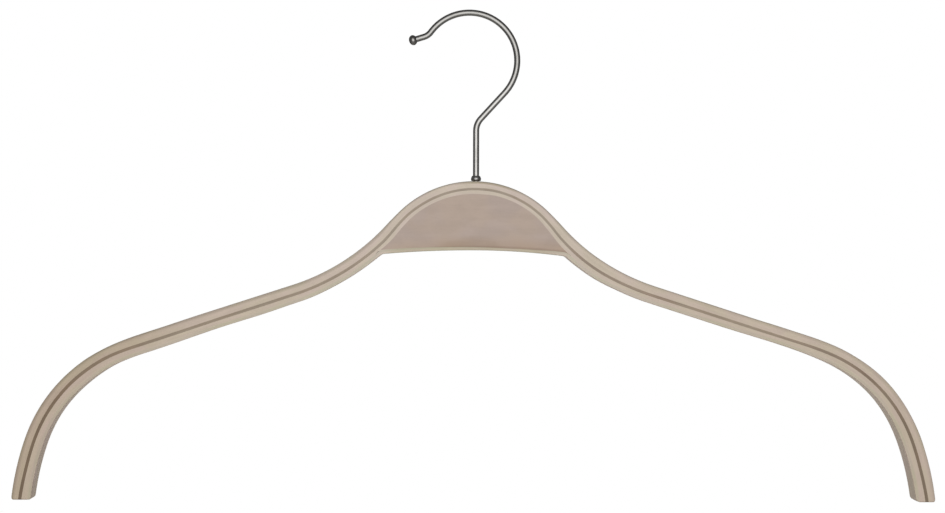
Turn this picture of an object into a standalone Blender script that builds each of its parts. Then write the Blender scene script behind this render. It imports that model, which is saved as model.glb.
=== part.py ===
"""Bent laminated wooden clothes hanger with a swivel hook.

Five veneers are glued round a centre block: two pale outer ones, a thin dark one, the arch veneer
over the block and the lower veneer, which lines the arms and runs under the block. The hook is a
steel wire with a ball end. It turns in a bore through the block, held by a bead above the crown and
by an upset head under a washer in a counterbore.

Metres, +Z up. The origin is the rail seat: the inside of the hook, on the axis of its shank. +X runs
along the bow, the hook opens towards -X, and the hanger is seen from -Y.
"""

from math import acos, asin, atan2, ceil, cos, hypot, pi, radians, sin, sqrt

import bmesh
import bpy

MM = 0.001

# The bow's outer edge, from the top of the crown to one tip. Each arc has a radius and a turn.
CROWN_RADIUS = 51.2 * MM
CROWN_TURN = radians(44.2)
FLANK_RADIUS = 180.0 * MM
FLANK_TURN = radians(3.1)
NECK_RADIUS = 105.0 * MM
NECK_TURN = radians(29.4)
ARM_LENGTH = 83.0 * MM
SHOULDER_RADIUS = 77.8 * MM
SHOULDER_TURN = radians(53.3)
TIP_RADIUS = 138.0 * MM
TIP_TURN = radians(30.0)
TIP_DROP = 154.0 * MM          # from the crown down to the level cut of the tips

# The plies, from the outside in, each with its share of the glue lines.
BOARD_THICKNESS = 12.0 * MM
OUTER_PLY = 1.975 * MM         # the outer and the second veneer, each
DARK_PLY = 1.2 * MM
ARCH_PLY = 1.75 * MM
LOWER_PLY = 1.9 * MM
GLUE_LINE = 0.3 * MM           # clearance between glued faces
CROWN_RELIEF = 0.75 * MM       # sanded off the outer veneer over the crown
RELIEF_START = 38.0 * MM       # along the outer edge
RELIEF_LENGTH = 18.0 * MM
EDGE_ROUND = 1.0 * MM          # long edges of the board
TIP_OUTER_ROUND = 1.2 * MM     # corners of the cut tips
TIP_INNER_ROUND = 2.2 * MM

# The centre block and the veneer under it.
BLOCK_HEIGHT = 25.2 * MM
UNDERSIDE_RADIUS = 450.0 * MM
CORNER_ROUND = 3.0 * MM        # where the lower veneer turns from the underside into the arm
BLOCK_NOSE = 0.5 * MM          # height of the blunt ends of the block

# The hook: from the shank up to the ball end.
WIRE_DIAMETER = 3.0 * MM
SHANK_OFFSET = 1.0 * MM        # the shank stands to the right of the bow's middle
SHANK_ABOVE_WOOD = 24.6 * MM
LEAN_RADIUS = 8.75 * MM
LEAN_TURN = radians(42.5)
LEG_LENGTH = 16.9 * MM
HOOK_RADIUS = 23.2 * MM        # of the wire's centre line
HOOK_TURN = radians(188.0)
LIP_RADIUS = 3.8 * MM
LIP_TURN = radians(38.5)
LIP_LENGTH = 6.4 * MM          # from the lip bend to the middle of the ball
BALL_WIDTH = 4.5 * MM
BALL_LENGTH = 3.7 * MM
BALL_FLAT = 0.8 * MM           # the small flat on the ball's end

# The swivel: bead above the crown, washer and upset head in the counterbore.
TURNING_GAP = 0.3 * MM
COLLAR_DIAMETER = 4.9 * MM
COLLAR_END_DIAMETER = 4.1 * MM
COLLAR_HEIGHT = 2.5 * MM
WASHER_DIAMETER = 8.0 * MM
WASHER_THICKNESS = 0.8 * MM
HEAD_DIAMETER = 5.5 * MM
HEAD_HEIGHT = 1.5 * MM
HEAD_DOME = 0.4 * MM
HEAD_SLOPE = 0.1 * MM          # from the head's edge in to the wire
COUNTERBORE_DEPTH = 8.0 * MM
CUT_OVERRUN = 2.0 * MM

# Fineness of the facets.
FACET_SAG = 0.02 * MM          # how far a flat facet may fall inside its arc
WELD = 0.01 * MM
HALVINGS = 60                  # steps of each search for a crossing
ROUND_SIDES = 32
WIRE_RESOLUTION = 4            # gives the wire twelve sides
SWELL_STEPS = 6
BALL_STEPS = 8
SMOOTH_ANGLE = radians(30.0)

# Places of a section's points across a rounded ply, from its visible side to its glued side.
EDGE_SHARES = (0.0, 0.15, 0.5, 1.0)

# Finishes: sRGB colour, roughness, metallic.
PALE_WOOD = ((190, 177, 161), 0.65, 0.0)
DARK_WOOD = ((128, 104, 82), 0.65, 0.0)
BLOCK_WOOD = ((175, 158, 145), 0.65, 0.0)
STEEL = ((172, 171, 170), 0.28, 1.0)

# Depths of the glue lines under the unsanded outer edge, and of the bow's inner edge.
SECOND_LEVEL = OUTER_PLY
DARK_LEVEL = SECOND_LEVEL + OUTER_PLY
ARCH_LEVEL = DARK_LEVEL + DARK_PLY
LOWER_LEVEL = ARCH_LEVEL + ARCH_PLY
INNER_LEVEL = LOWER_LEVEL + LOWER_PLY

# The outer edge as runs of (length, curvature); a positive curvature bends down and outwards.
BOW_RUNS = (
    (CROWN_RADIUS * CROWN_TURN, 1.0 / CROWN_RADIUS),
    (FLANK_RADIUS * FLANK_TURN, 1.0 / FLANK_RADIUS),
    (NECK_RADIUS * NECK_TURN, -1.0 / NECK_RADIUS),
    (ARM_LENGTH, 0.0),
    (SHOULDER_RADIUS * SHOULDER_TURN, 1.0 / SHOULDER_RADIUS),
    (TIP_RADIUS * TIP_TURN, 1.0 / TIP_RADIUS),
)
BOW_RUN_LENGTH = sum(length for length, curvature in BOW_RUNS)
NECK_END = CROWN_RADIUS * CROWN_TURN + FLANK_RADIUS * FLANK_TURN + NECK_RADIUS * NECK_TURN

# Places along the hook's axis. The hook's ring is centred left of the shank, as its bends give it.
RING_ACROSS = LEAN_RADIUS * (1 - cos(LEAN_TURN)) + LEG_LENGTH * sin(LEAN_TURN) - HOOK_RADIUS * cos(LEAN_TURN)
RING_RISE = (LEAN_RADIUS + HOOK_RADIUS) * sin(LEAN_TURN) + LEG_LENGTH * cos(LEAN_TURN)
RING_CENTRE_Z = -sqrt((HOOK_RADIUS - WIRE_DIAMETER / 2) ** 2 - RING_ACROSS ** 2)
LEAN_START_Z = RING_CENTRE_Z - RING_RISE
CROWN_Z = LEAN_START_Z - SHANK_ABOVE_WOOD
UNDERSIDE_DROP = LOWER_LEVEL - CROWN_RELIEF + BLOCK_HEIGHT + LOWER_PLY
BORE_DIAMETER = WIRE_DIAMETER + 2 * TURNING_GAP
COUNTERBORE_DIAMETER = WASHER_DIAMETER + 2 * TURNING_GAP
SHOULDER_Z = CROWN_Z - UNDERSIDE_DROP + COUNTERBORE_DEPTH
WASHER_TOP_Z = SHOULDER_Z - TURNING_GAP
HEAD_TOP_Z = WASHER_TOP_Z - WASHER_THICKNESS - TURNING_GAP


def clear_scene():
    """Remove what is in the open scene."""
    for thing in list(bpy.data.objects):
        bpy.data.objects.remove(thing, do_unlink=True)


def new_collection(name):
    """Make a collection under the scene's own."""
    collection = bpy.data.collections.new(name)
    bpy.context.scene.collection.children.link(collection)
    return collection


def linear(value):
    """Turn one sRGB byte into the linear value that a shader takes."""
    share = value / 255
    if share <= 0.04045:
        return share / 12.92
    return ((share + 0.055) / 1.055) ** 2.4


def finish(name, look):
    """Make a material from a colour, a roughness and a metallic value."""
    colour, roughness, metallic = look
    material = bpy.data.materials.new(name)
    material.use_nodes = True
    shader = material.node_tree.nodes["Principled BSDF"]
    shader.inputs["Base Color"].default_value = [linear(value) for value in colour] + [1.0]
    shader.inputs["Roughness"].default_value = roughness
    shader.inputs["Metallic"].default_value = metallic
    return material


def solve(function, low, high):
    """Find by halving where a function changes sign between two values."""
    rising = function(high) > function(low)
    for _ in range(HALVINGS):
        middle = (low + high) / 2
        if (function(middle) > 0) == rising:
            high = middle
        else:
            low = middle
    return (low + high) / 2


def facets(radius, turn):
    """Count the flat facets that keep an arc within the facet sag."""
    step = 2 * acos(1 - FACET_SAG / radius)
    return max(1, ceil(turn / step))


# The bow's outer edge and what lies under it, in the bow's own frame: the crown's top is the origin.

def edge_point(run):
    """Give x, z and the lean of the outward normal at a distance along the outer edge."""
    x = z = lean = 0.0
    for length, curvature in BOW_RUNS:
        part = min(run, length)
        turned = lean + curvature * part
        if curvature:
            x += (sin(turned) - sin(lean)) / curvature
            z += (cos(turned) - cos(lean)) / curvature
        else:
            x += part * cos(lean)
            z -= part * sin(lean)
        lean = turned
        run -= part
        if run <= 0:
            break
    return x, z, lean


def under_edge(run, depth):
    """Give the point at a depth under the outer edge, square to it."""
    x, z, lean = edge_point(run)
    return x - depth * sin(lean), z - depth * cos(lean)


def relief(run):
    """Give how much of the outer veneer is sanded off, blended out past the crown."""
    share = min(max((run - RELIEF_START) / RELIEF_LENGTH, 0.0), 1.0)
    return CROWN_RELIEF * (1 - share * share * (3 - 2 * share))


def corner_rise(depth):
    """Give how far the tip's rounded corners lift its cut at a depth under the outer edge."""
    rise = 0.0
    for radius, inset in ((TIP_OUTER_ROUND, depth), (TIP_INNER_ROUND, INNER_LEVEL - depth)):
        if inset < radius:
            rise += radius - sqrt(radius ** 2 - (radius - inset) ** 2)
    return rise


def tip_run(depth):
    """Give the distance along the bow at which the tip's cut meets a depth."""
    level = corner_rise(depth) - TIP_DROP
    return solve(lambda run: under_edge(run, depth)[1] - level, NECK_END, BOW_RUN_LENGTH)


def half_width(from_outside, from_inside):
    """Give half of the board's thickness, drawn in at its rounded long edges."""
    inset = min(from_outside, from_inside)
    if inset >= EDGE_ROUND:
        return BOARD_THICKNESS / 2
    return BOARD_THICKNESS / 2 - EDGE_ROUND + sqrt(EDGE_ROUND ** 2 - (EDGE_ROUND - inset) ** 2)


def edge_stations():
    """Give the distances along the outer edge at which every ply has a section."""
    stations = [0.0]
    start = 0.0
    for length, curvature in BOW_RUNS:
        count = facets(1 / abs(curvature), length * abs(curvature)) if curvature else 1
        stations += [start + length * (step + 1) / count for step in range(count)]
        start += length
    last = min(tip_run(0.0), tip_run(INNER_LEVEL)) - TIP_INNER_ROUND
    return [run for run in stations if run < last]


def ply_ring(run, depths, at_tip):
    """Give one section of a ply as points (x, half width, z), from the outside in."""
    ring = []
    inner_edge = INNER_LEVEL - relief(run)
    for depth in depths:
        x, z = under_edge(tip_run(depth) if at_tip else run, depth)
        ring.append((x, half_width(depth, inner_edge - depth), z))
    return ring


def outer_veneer(material, collection):
    """Make the outermost veneer, with the board's rounded outer edges."""
    rings = []
    for run in edge_stations() + [BOW_RUN_LENGTH]:
        glued = SECOND_LEVEL - relief(run) - GLUE_LINE / 2
        depths = [glued * share for share in EDGE_SHARES]
        rings.append(ply_ring(run, depths, run == BOW_RUN_LENGTH))
    return mirrored_loft("outer_veneer", rings, material, collection)


def inner_ply(name, top_level, bottom_level, material, collection):
    """Make a veneer glued between two others, as a flat outline that follows the bow."""
    upper = []
    lower = []
    for run in edge_stations() + [BOW_RUN_LENGTH]:
        top = top_level - relief(run) + GLUE_LINE / 2
        bottom = bottom_level - relief(run) - GLUE_LINE / 2
        at_tip = run == BOW_RUN_LENGTH
        upper.append(under_edge(tip_run(top) if at_tip else run, top))
        lower.append(under_edge(tip_run(bottom) if at_tip else run, bottom))
    return flat_piece(name, upper, lower, material, collection)


def corner_place():
    """Find where the underside turns into the arm: the run there and the rounding's centre."""
    centre_z = -UNDERSIDE_DROP - UNDERSIDE_RADIUS

    def centre(run):
        """Give the rounding's centre if it touched the arm's inner edge at this run."""
        return under_edge(run, INNER_LEVEL - relief(run) + CORNER_ROUND)

    def excess(run):
        """Give how far that centre lies outside the underside's arc."""
        x, z = centre(run)
        return hypot(x, z - centre_z) - (UNDERSIDE_RADIUS - CORNER_ROUND)

    run = solve(excess, 0.0, NECK_END)
    return run, centre(run)


def lower_line():
    """Give the lower veneer's visible side from the middle to the arm, as (x, z, lean)."""
    run, (round_x, round_z) = corner_place()
    centre_z = -UNDERSIDE_DROP - UNDERSIDE_RADIUS
    first = atan2(round_x, round_z - centre_z)
    last = edge_point(run)[2]
    line = []
    count = facets(UNDERSIDE_RADIUS, first)
    for step in range(count):
        lean = first * step / count
        line.append((UNDERSIDE_RADIUS * sin(lean), centre_z + UNDERSIDE_RADIUS * cos(lean), lean))
    count = facets(CORNER_ROUND + LOWER_PLY, last - first)
    for step in range(count + 1):
        lean = first + (last - first) * step / count
        line.append((round_x + CORNER_ROUND * sin(lean), round_z + CORNER_ROUND * cos(lean), lean))
    return line


def lower_veneer(material, collection):
    """Make the veneer that runs under the block and lines both arms."""
    heights = [(LOWER_PLY - GLUE_LINE / 2) * share for share in reversed(EDGE_SHARES)]
    rings = []
    for x, z, lean in lower_line():
        rings.append([(x + height * sin(lean), half_width(INNER_LEVEL, height), z + height * cos(lean))
                      for height in heights])
    corner = corner_place()[0]
    for run in edge_stations() + [BOW_RUN_LENGTH]:
        if run > corner + CORNER_ROUND / 2:
            inner_edge = INNER_LEVEL - relief(run)
            rings.append(ply_ring(run, [inner_edge - height for height in heights], run == BOW_RUN_LENGTH))
    return mirrored_loft("lower_veneer", rings, material, collection)


def mirrored_loft(name, rings, material, collection):
    """Join sections, given from the middle to the right end, and mirror them to the left.

    Each section runs down the front side and up the back side. The end is closed with a strip.
    """
    points = len(rings[0])
    size = 2 * points
    vertices = []
    for ring in rings:
        vertices += [(x, -width, z) for x, width, z in ring]
        vertices += [(x, width, z) for x, width, z in reversed(ring)]
    faces = []
    for index in range(len(rings) - 1):
        for corner in range(size):
            here = index * size + corner
            beside = index * size + (corner + 1) % size
            faces.append((here, beside, beside + size, here + size))
    front = (len(rings) - 1) * size
    back = front + size - 1
    faces += [(front + step, front + step + 1, back - step - 1, back - step) for step in range(points - 1)]
    mesh = bpy.data.meshes.new(name)
    mesh.from_pydata(vertices, [], faces)
    soften(mesh)
    piece = place(name, mesh, material, collection)
    mirror = piece.modifiers.new("mirror", "MIRROR")
    mirror.merge_threshold = WELD
    return piece


def soften(mesh):
    """Shade a mesh smooth where its faces meet at a small angle."""
    mesh.shade_smooth()
    mesh.set_sharp_from_angle(angle=SMOOTH_ANGLE)


def place(name, data, material, collection):
    """Make an object of a mesh or a curve, with its material, in a collection."""
    data.materials.append(material)
    thing = bpy.data.objects.new(name, data)
    collection.objects.link(thing)
    return thing


def height_at(line, x):
    """Read the height of a line of points, sorted along x, at a place."""
    for (x0, z0), (x1, z1) in zip(line, line[1:]):
        if x0 <= x <= x1:
            return z0 + (z1 - z0) * (x - x0) / (x1 - x0)
    return line[-1][1]


def centre_block(material, collection):
    """Make the block that fills the space between the arch veneer and the lower veneer."""
    top = [under_edge(run, LOWER_LEVEL - relief(run) + GLUE_LINE / 2) for run in edge_stations()]
    lift = LOWER_PLY + GLUE_LINE / 2
    bottom = [(x + lift * sin(lean), z + lift * cos(lean)) for x, z, lean in lower_line()]
    end = solve(lambda x: height_at(top, x) - height_at(bottom, x) - BLOCK_NOSE, 0.0, bottom[-1][0])
    upper = [point for point in top if point[0] < end - BLOCK_NOSE / 2]
    lower = [point for point in bottom if point[0] < end - BLOCK_NOSE / 2]
    upper.append((end, height_at(top, end)))
    lower.append((end, height_at(bottom, end)))
    return flat_piece("centre_block", upper, lower, material, collection)


def flat_piece(name, upper, lower, material, collection):
    """Make a flat outline as thick as the board, from its upper and lower lines on the right half."""
    right = upper + list(reversed(lower))
    outline = right + [(-x, z) for x, z in reversed(right) if x > 0]
    curve = bpy.data.curves.new(name, "CURVE")
    curve.dimensions = "2D"
    curve.fill_mode = "BOTH"
    curve.extrude = BOARD_THICKNESS / 2
    spline = curve.splines.new("POLY")
    spline.points.add(len(outline) - 1)
    for point, (x, z) in zip(spline.points, outline):
        point.co = (x, z, 0.0, 1.0)
    spline.use_cyclic_u = True
    drawn = bpy.data.objects.new(name + "_outline", curve)
    collection.objects.link(drawn)
    drawn.rotation_euler = (radians(90), 0.0, 0.0)
    bpy.context.view_layer.update()
    evaluated = drawn.evaluated_get(bpy.context.evaluated_depsgraph_get())
    mesh = bpy.data.meshes.new_from_object(evaluated)
    mesh.name = name
    work = bmesh.new()
    work.from_mesh(mesh)
    bmesh.ops.remove_doubles(work, verts=work.verts, dist=WELD)
    work.to_mesh(mesh)
    work.free()
    mesh.materials.clear()
    soften(mesh)
    piece = place(name, mesh, material, collection)
    piece.matrix_world = drawn.matrix_world
    bpy.data.objects.remove(drawn, do_unlink=True)
    return piece


def turned(name, profile, material, collection):
    """Turn a closed profile of (radius, height) points about the vertical axis."""
    mesh = bpy.data.meshes.new(name)
    count = len(profile)
    edges = [(index, (index + 1) % count) for index in range(count)]
    mesh.from_pydata([(radius, 0.0, height) for radius, height in profile], edges, [])
    piece = place(name, mesh, material, collection)
    screw = piece.modifiers.new("turn", "SCREW")
    screw.axis = "Z"
    screw.steps = ROUND_SIDES
    screw.render_steps = ROUND_SIDES
    screw.use_merge_vertices = True
    screw.merge_threshold = WELD
    screw.use_smooth_shade = True
    return piece


def hook_line():
    """Give the wire's centre line from the upset head to the ball end, as (x, z, radius)."""
    wire = WIRE_DIAMETER / 2
    head = HEAD_DIAMETER / 2
    line = [
        (0.0, HEAD_TOP_Z - HEAD_HEIGHT, head - HEAD_DOME),
        (0.0, HEAD_TOP_Z - HEAD_HEIGHT + HEAD_DOME, head),
        (0.0, HEAD_TOP_Z - HEAD_SLOPE, head),
        (0.0, HEAD_TOP_Z, wire),
    ]
    x = 0.0
    z = LEAN_START_Z
    heading = pi / 2
    line.append((x, z, wire))
    bends = (
        (-LEAN_TURN, LEAN_RADIUS, LEG_LENGTH),
        (HOOK_TURN, HOOK_RADIUS, 0.0),
        (-LIP_TURN, LIP_RADIUS, 0.0),
    )
    for turn, radius, straight in bends:
        side = 1 if turn > 0 else -1
        centre_x = x - side * radius * sin(heading)
        centre_z = z + side * radius * cos(heading)
        count = facets(radius + wire, abs(turn))
        for step in range(1, count + 1):
            angle = heading + turn * step / count
            x = centre_x + side * radius * sin(angle)
            z = centre_z - side * radius * cos(angle)
            line.append((x, z, wire))
        heading += turn
        if straight:
            x += straight * cos(heading)
            z += straight * sin(heading)
            line.append((x, z, wire))
    first = asin(WIRE_DIAMETER / BALL_WIDTH)
    last = pi - asin(BALL_FLAT / BALL_WIDTH)
    for step in range(BALL_STEPS + 1):
        angle = first + (last - first) * step / BALL_STEPS
        along = LIP_LENGTH - BALL_LENGTH / 2 * cos(angle)
        across = BALL_WIDTH / 2 * sin(angle)
        line.append((x + along * cos(heading), z + along * sin(heading), across))
    return line


def hook_wire(material, collection):
    """Make the hook as one wire, upset to a head at its foot and to a ball at its end."""
    line = hook_line()
    curve = bpy.data.curves.new("hook_wire", "CURVE")
    curve.dimensions = "3D"
    curve.bevel_depth = WIRE_DIAMETER / 2
    curve.bevel_resolution = WIRE_RESOLUTION
    curve.use_fill_caps = True
    spline = curve.splines.new("POLY")
    spline.points.add(len(line) - 1)
    for point, (x, z, radius) in zip(spline.points, line):
        point.co = (x, 0.0, z, 1.0)
        point.radius = radius / curve.bevel_depth
    return place("hook_wire", curve, material, collection)


def hook_collar(material, collection):
    """Make the barrel-shaped bead that keeps the wire from sinking into the bore."""
    inner = BORE_DIAMETER / 2
    swell = (COLLAR_DIAMETER - COLLAR_END_DIAMETER) / 2
    bottom = CROWN_Z + TURNING_GAP
    profile = [(inner, bottom + COLLAR_HEIGHT)]
    for step in range(SWELL_STEPS + 1):
        share = step / SWELL_STEPS
        bulge = swell * (1 - (2 * share - 1) ** 2)
        profile.append((COLLAR_END_DIAMETER / 2 + bulge, bottom + COLLAR_HEIGHT * (1 - share)))
    profile.append((inner, bottom))
    return turned("hook_collar", profile, material, collection)


def retaining_washer(material, collection):
    """Make the flat washer that bears on the shoulder of the counterbore."""
    inner = BORE_DIAMETER / 2
    outer = WASHER_DIAMETER / 2
    bottom = WASHER_TOP_Z - WASHER_THICKNESS
    profile = [(inner, WASHER_TOP_Z), (outer, WASHER_TOP_Z), (outer, bottom), (inner, bottom)]
    return turned("retaining_washer", profile, material, collection)


def bore_cutter(name, diameter, low, high, collection):
    """Make an upright cylinder on the shank's axis that cuts a bore."""
    bpy.ops.mesh.primitive_cylinder_add(vertices=ROUND_SIDES, radius=diameter / 2, depth=high - low)
    cutter = bpy.context.object
    cutter.name = name
    cutter.location = (0.0, 0.0, (high + low) / 2)
    for owner in cutter.users_collection:
        owner.objects.unlink(cutter)
    collection.objects.link(cutter)
    cutter.hide_render = True
    cutter.display_type = "WIRE"
    return cutter


def cut(piece, cutter):
    """Take a cutter's shape out of a piece."""
    boolean = piece.modifiers.new("cut_" + cutter.name, "BOOLEAN")
    boolean.operation = "DIFFERENCE"
    boolean.object = cutter


clear_scene()
parts = new_collection("clothes_hanger")
cutters = new_collection("cutters")

pale_wood = finish("pale_wood", PALE_WOOD)
dark_wood = finish("dark_wood", DARK_WOOD)
block_wood = finish("block_wood", BLOCK_WOOD)
steel = finish("steel", STEEL)

# The swivel axis runs up through the origin. The bow hangs on it, a little off its middle.
swivel_axis = bpy.data.objects.new("swivel_axis", None)
parts.objects.link(swivel_axis)

bored = [
    outer_veneer(pale_wood, parts),
    inner_ply("second_veneer", SECOND_LEVEL, DARK_LEVEL, pale_wood, parts),
    inner_ply("dark_core_veneer", DARK_LEVEL, ARCH_LEVEL, dark_wood, parts),
    inner_ply("arch_veneer", ARCH_LEVEL, LOWER_LEVEL, pale_wood, parts),
]
block = centre_block(block_wood, parts)
lower = lower_veneer(pale_wood, parts)

# The bore runs from the crown down into the block, and the counterbore from the underside up to it.
bore = bore_cutter("hook_bore", BORE_DIAMETER, SHOULDER_Z - CUT_OVERRUN, CROWN_Z + CUT_OVERRUN, cutters)
underside_z = CROWN_Z - UNDERSIDE_DROP
counterbore = bore_cutter("hook_counterbore", COUNTERBORE_DIAMETER, underside_z - CUT_OVERRUN, SHOULDER_Z,
                          cutters)
for piece in bored + [block]:
    cut(piece, bore)
for piece in (block, lower):
    cut(piece, counterbore)
for piece in bored + [block, lower]:
    piece.location = (-SHANK_OFFSET, 0.0, CROWN_Z)
    piece.parent = swivel_axis

retaining_washer(steel, parts).parent = swivel_axis
hook_wire(steel, parts)
hook_collar(steel, parts)
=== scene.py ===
"""Looks of a bent laminated clothes hanger, of sanded beech veneers, a beech block and a steel hook.

Everything is in metres in the part's own frame: +X along the bow, +Y away from the front, +Z up, and the
origin at the rail seat, inside the hook's ring on the shank's axis.
"""

import bpy
import numpy as np
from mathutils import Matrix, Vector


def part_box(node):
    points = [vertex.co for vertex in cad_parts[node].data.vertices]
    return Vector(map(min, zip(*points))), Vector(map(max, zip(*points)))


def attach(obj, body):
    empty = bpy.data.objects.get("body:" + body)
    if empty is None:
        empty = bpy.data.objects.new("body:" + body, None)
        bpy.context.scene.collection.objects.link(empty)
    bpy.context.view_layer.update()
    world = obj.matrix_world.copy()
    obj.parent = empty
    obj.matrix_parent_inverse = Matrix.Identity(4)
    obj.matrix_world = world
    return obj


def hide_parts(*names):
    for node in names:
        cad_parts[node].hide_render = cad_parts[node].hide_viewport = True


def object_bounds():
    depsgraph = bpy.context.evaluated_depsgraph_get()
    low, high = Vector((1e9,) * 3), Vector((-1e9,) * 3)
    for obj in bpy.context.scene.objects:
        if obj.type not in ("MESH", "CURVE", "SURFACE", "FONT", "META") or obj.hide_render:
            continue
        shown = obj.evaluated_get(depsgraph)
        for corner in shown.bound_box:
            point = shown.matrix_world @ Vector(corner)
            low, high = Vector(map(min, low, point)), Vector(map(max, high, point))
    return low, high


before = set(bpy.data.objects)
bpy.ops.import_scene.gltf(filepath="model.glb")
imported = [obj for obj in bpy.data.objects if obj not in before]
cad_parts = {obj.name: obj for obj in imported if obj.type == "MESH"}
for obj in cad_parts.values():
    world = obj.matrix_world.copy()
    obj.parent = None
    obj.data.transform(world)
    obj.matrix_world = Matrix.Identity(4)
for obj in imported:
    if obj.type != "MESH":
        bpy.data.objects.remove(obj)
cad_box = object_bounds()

MM = 0.001

# The camera stands straight in front of the hanger, with its picture plane parallel to the board. Pixels are
# those of the 945 by 513 frame.
FRAME_WIDTH_PX = 945
FRAME_HEIGHT_PX = 513
BOW_MIDDLE_PX = 474.0          # from the frame's left side to the middle of the bow
AXIS_Y_PX = 256.1              # from the frame's top to the camera's own level
FRONT_PIXEL = 0.4811 * MM      # size of one pixel on the board's front face
FRONT_DISTANCE = 870.0 * MM    # from the camera to that face
CAMERA_X = -20.0 * MM
CAMERA_Z = -116.2 * MM
CAMERA_ROLL = np.radians(-0.16)
BOARD_THICKNESS = 12.0 * MM
SENSOR_WIDTH_MM = 36.0

outer_low, outer_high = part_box("outer_veneer")
middle_x = (outer_low.x + outer_high.x) / 2
axis_x_px = BOW_MIDDLE_PX + (CAMERA_X - middle_x) / FRONT_PIXEL
lens = bpy.data.cameras.new("camera")
lens.sensor_width = SENSOR_WIDTH_MM
lens.lens = SENSOR_WIDTH_MM * FRONT_DISTANCE / (FRONT_PIXEL * FRAME_WIDTH_PX)
lens.shift_x = (FRAME_WIDTH_PX / 2 - axis_x_px) / FRAME_WIDTH_PX
lens.shift_y = (AXIS_Y_PX - FRAME_HEIGHT_PX / 2) / FRAME_WIDTH_PX
camera = bpy.data.objects.new("camera", lens)
camera.location = (CAMERA_X, -FRONT_DISTANCE - BOARD_THICKNESS / 2, CAMERA_Z)
camera.rotation_euler = (np.pi / 2, CAMERA_ROLL, 0)
bpy.context.scene.collection.objects.link(camera)
bpy.context.scene.camera = camera
bpy.context.scene.view_settings.view_transform = "Standard"

# The studio: a pale floor below the hanging object, a lit white wall in front and one behind, each with a
# square lamp, and greyer sides, which give the round steel its dark edges. The floor's light makes the sides
# paler from below, and the floor fades out into the walls.
WALL_LIGHT = 1.0
SIDE_LIGHT = (0.27, 0.18)      # straight below and straight above
WALL_EDGES = (0.53, 0.95)      # how squarely one looks at a wall where it begins and where it is full
FLOOR_DROP = 750.0 * MM        # below the tips
FLOOR_HALF = 2.0               # half of its side
FLOOR_FADE = (0.7, 1.45)       # how far from its middle it begins to fade and is gone
FLOOR_COLOUR = (0.80, 0.79, 0.77, 1.0)
FLOOR_ROUGHNESS = 0.9
LAMP_SIZE = 1.7
LAMP_DISTANCE = 1.6            # from the board, in front and behind
LAMP_POWER = 14.0              # watts each


def node(tree, kind, values=None, **settings):
    """Add a shader node to a tree, with its settings and its inputs.

    Each input is a plain value or another node's output.
    """
    made = tree.nodes.new("ShaderNode" + kind)
    for name, value in settings.items():
        setattr(made, name, value)
    for socket, value in (values or {}).items():
        if isinstance(value, bpy.types.NodeSocket):
            tree.links.new(value, made.inputs[socket])
        else:
            made.inputs[socket].default_value = value
    return made


def ramp(tree, value, low, high, start=0.0, end=1.0):
    """Map a value smoothly from low..high to start..end, and hold it outside."""
    values = {"Value": value, "From Min": low, "From Max": high, "To Min": start, "To Max": end}
    return node(tree, "MapRange", values, interpolation_type="SMOOTHSTEP").outputs["Result"]


def calculate(tree, operation, first, second=0.0):
    """Add a Math node and give its output."""
    return node(tree, "Math", {0: first, 1: second}, operation=operation).outputs["Value"]


world = bpy.data.worlds.new("studio")
bpy.context.scene.world = world
world.use_nodes = True
world.node_tree.nodes.clear()
direction = node(world.node_tree, "TexCoord").outputs["Generated"]
_, ahead, upward = node(world.node_tree, "SeparateXYZ", {"Vector": direction}).outputs
squareness = calculate(world.node_tree, "ABSOLUTE", ahead)
side_light = ramp(world.node_tree, upward, -1.0, 1.0, *SIDE_LIGHT)
strength = ramp(world.node_tree, squareness, *WALL_EDGES, side_light, WALL_LIGHT)
background = node(world.node_tree, "Background", {"Color": (1.0, 1.0, 1.0, 1.0), "Strength": strength})
node(world.node_tree, "OutputWorld", {"Surface": background.outputs["Background"]})

floor_z = cad_box[0][2] - FLOOR_DROP
corners = np.array([(-1, -1, 0), (1, -1, 0), (1, 1, 0), (-1, 1, 0)]) * FLOOR_HALF + (0, 0, floor_z)
floor_mesh = bpy.data.meshes.new("floor")
floor_mesh.from_pydata(corners.tolist(), [], [(0, 1, 2, 3)])
floor = bpy.data.objects.new("floor", floor_mesh)
bpy.context.scene.collection.objects.link(floor)
floor_finish = bpy.data.materials.new("floor")
floor_finish.use_nodes = True
tree = floor_finish.node_tree
shader = tree.nodes["Principled BSDF"]
shader.inputs["Base Color"].default_value = FLOOR_COLOUR
shader.inputs["Roughness"].default_value = FLOOR_ROUGHNESS
spot = node(tree, "VectorMath", {0: node(tree, "TexCoord").outputs["Object"], 1: (1.0, 1.0, 0.0)},
            operation="MULTIPLY").outputs["Vector"]
from_middle = node(tree, "VectorMath", {0: spot}, operation="LENGTH").outputs["Value"]
faded = calculate(tree, "MAXIMUM", ramp(tree, from_middle, *FLOOR_FADE),
                  node(tree, "NewGeometry").outputs["Backfacing"])
clear = node(tree, "BsdfTransparent").outputs["BSDF"]
mixed = node(tree, "MixShader", {0: faded, 1: shader.outputs["BSDF"], 2: clear})
tree.links.new(mixed.outputs["Shader"], tree.nodes["Material Output"].inputs["Surface"])
floor_mesh.materials.append(floor_finish)

for side in (-1, 1):
    light = bpy.data.lights.new("wall_lamp", "AREA")
    light.shape = "SQUARE"
    light.size = LAMP_SIZE
    light.energy = LAMP_POWER
    lamp = bpy.data.objects.new("wall_lamp", light)
    lamp.location = (CAMERA_X, side * LAMP_DISTANCE, CAMERA_Z)
    lamp.rotation_euler = (-side * np.pi / 2, 0, 0)
    lamp.visible_camera = False
    bpy.context.scene.collection.objects.link(lamp)

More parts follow.
